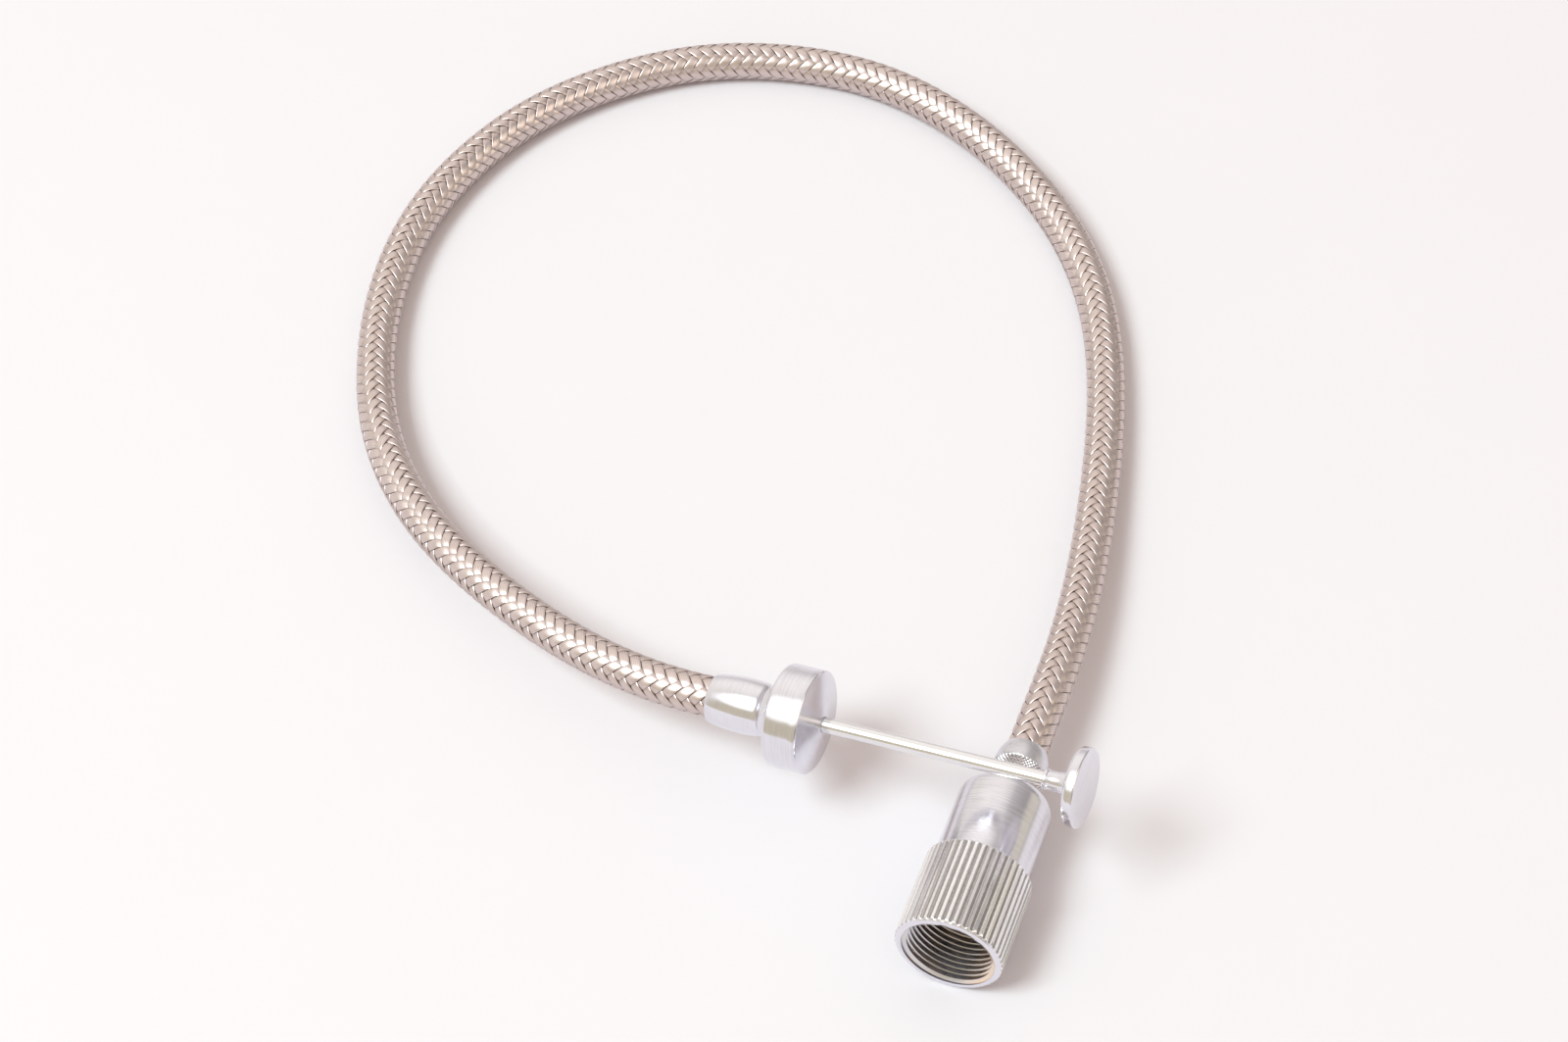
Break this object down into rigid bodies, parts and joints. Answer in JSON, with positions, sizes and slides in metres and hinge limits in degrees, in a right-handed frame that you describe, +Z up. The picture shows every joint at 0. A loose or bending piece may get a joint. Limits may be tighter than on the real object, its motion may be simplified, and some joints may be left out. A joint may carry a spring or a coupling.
{
  "type": "cable shutter release",
  "caption": "Braided cable shutter release: a disc button drives a pin through the cable into a fluted screw-on bell that turns freely on its spindle.",
  "frame": {"origin": "centre of the bell's mouth, on the bell's axis", "axes": "+Y along the bell's axis from the mouth to the cable, +Z up from the surface that the release lies on, +X to the right towards the push button"},
  "size_m": [0.1171, 0.1387, 0.0236],
  "materials": {
    "nickel_bell": "brushed nickel plate, worn",
    "nickel_flange": "turned nickel plate",
    "nickel": "bright nickel plate",
    "steel_rod": "polished",
    "steel_pin": "satin",
    "dark_steel": "spring steel",
    "brass_inner": "plain turned brass",
    "braid": "braided nickel-silver wire"
  },
  "bodies": {
    "root": {"finger_flange": "nickel_flange", "handle_ferrule": "nickel", "spring_tube": "brass_inner", "spring_seat": "brass_inner", "return_spring": "dark_steel", "braided_sheath": "braid", "wire_conduit": "dark_steel", "core_wire": "steel_pin", "neck_collar": "nickel", "neck_washer": "dark_steel", "bell_spindle": "brass_inner", "retaining_ring": "brass_inner"},
    "plunger": {"thumb_button": "nickel", "plunger_rod": "steel_rod", "stop_collar": "brass_inner"},
    "release_pin": {"push_pin": "steel_pin", "pin_tip": "steel_pin"},
    "bell": {"screw_bell": "nickel_bell"}
  },
  "joints": [
    {"name": "plunger_slide", "type": "slide", "parent": "root", "child": "plunger", "axis": [-0.9872, 0.0604, -0.1478], "range_m": [0, 0.014], "stiffness_N_per_m": 120, "springref_m": -0.006, "deforming": ["return_spring"]},
    {"name": "pin_slide", "type": "slide", "parent": "root", "child": "release_pin", "axis": [0, -1, 0], "range_m": [0, 0.014]},
    {"name": "bell_spin", "type": "hinge", "parent": "root", "child": "bell", "pos_m": [0, 0.0224, 0], "axis": [0, 1, 0], "continuous": true}
  ],
  "couplings": [
    {"joint": "pin_slide", "follows": "plunger_slide", "ratio": 1}
  ]
}
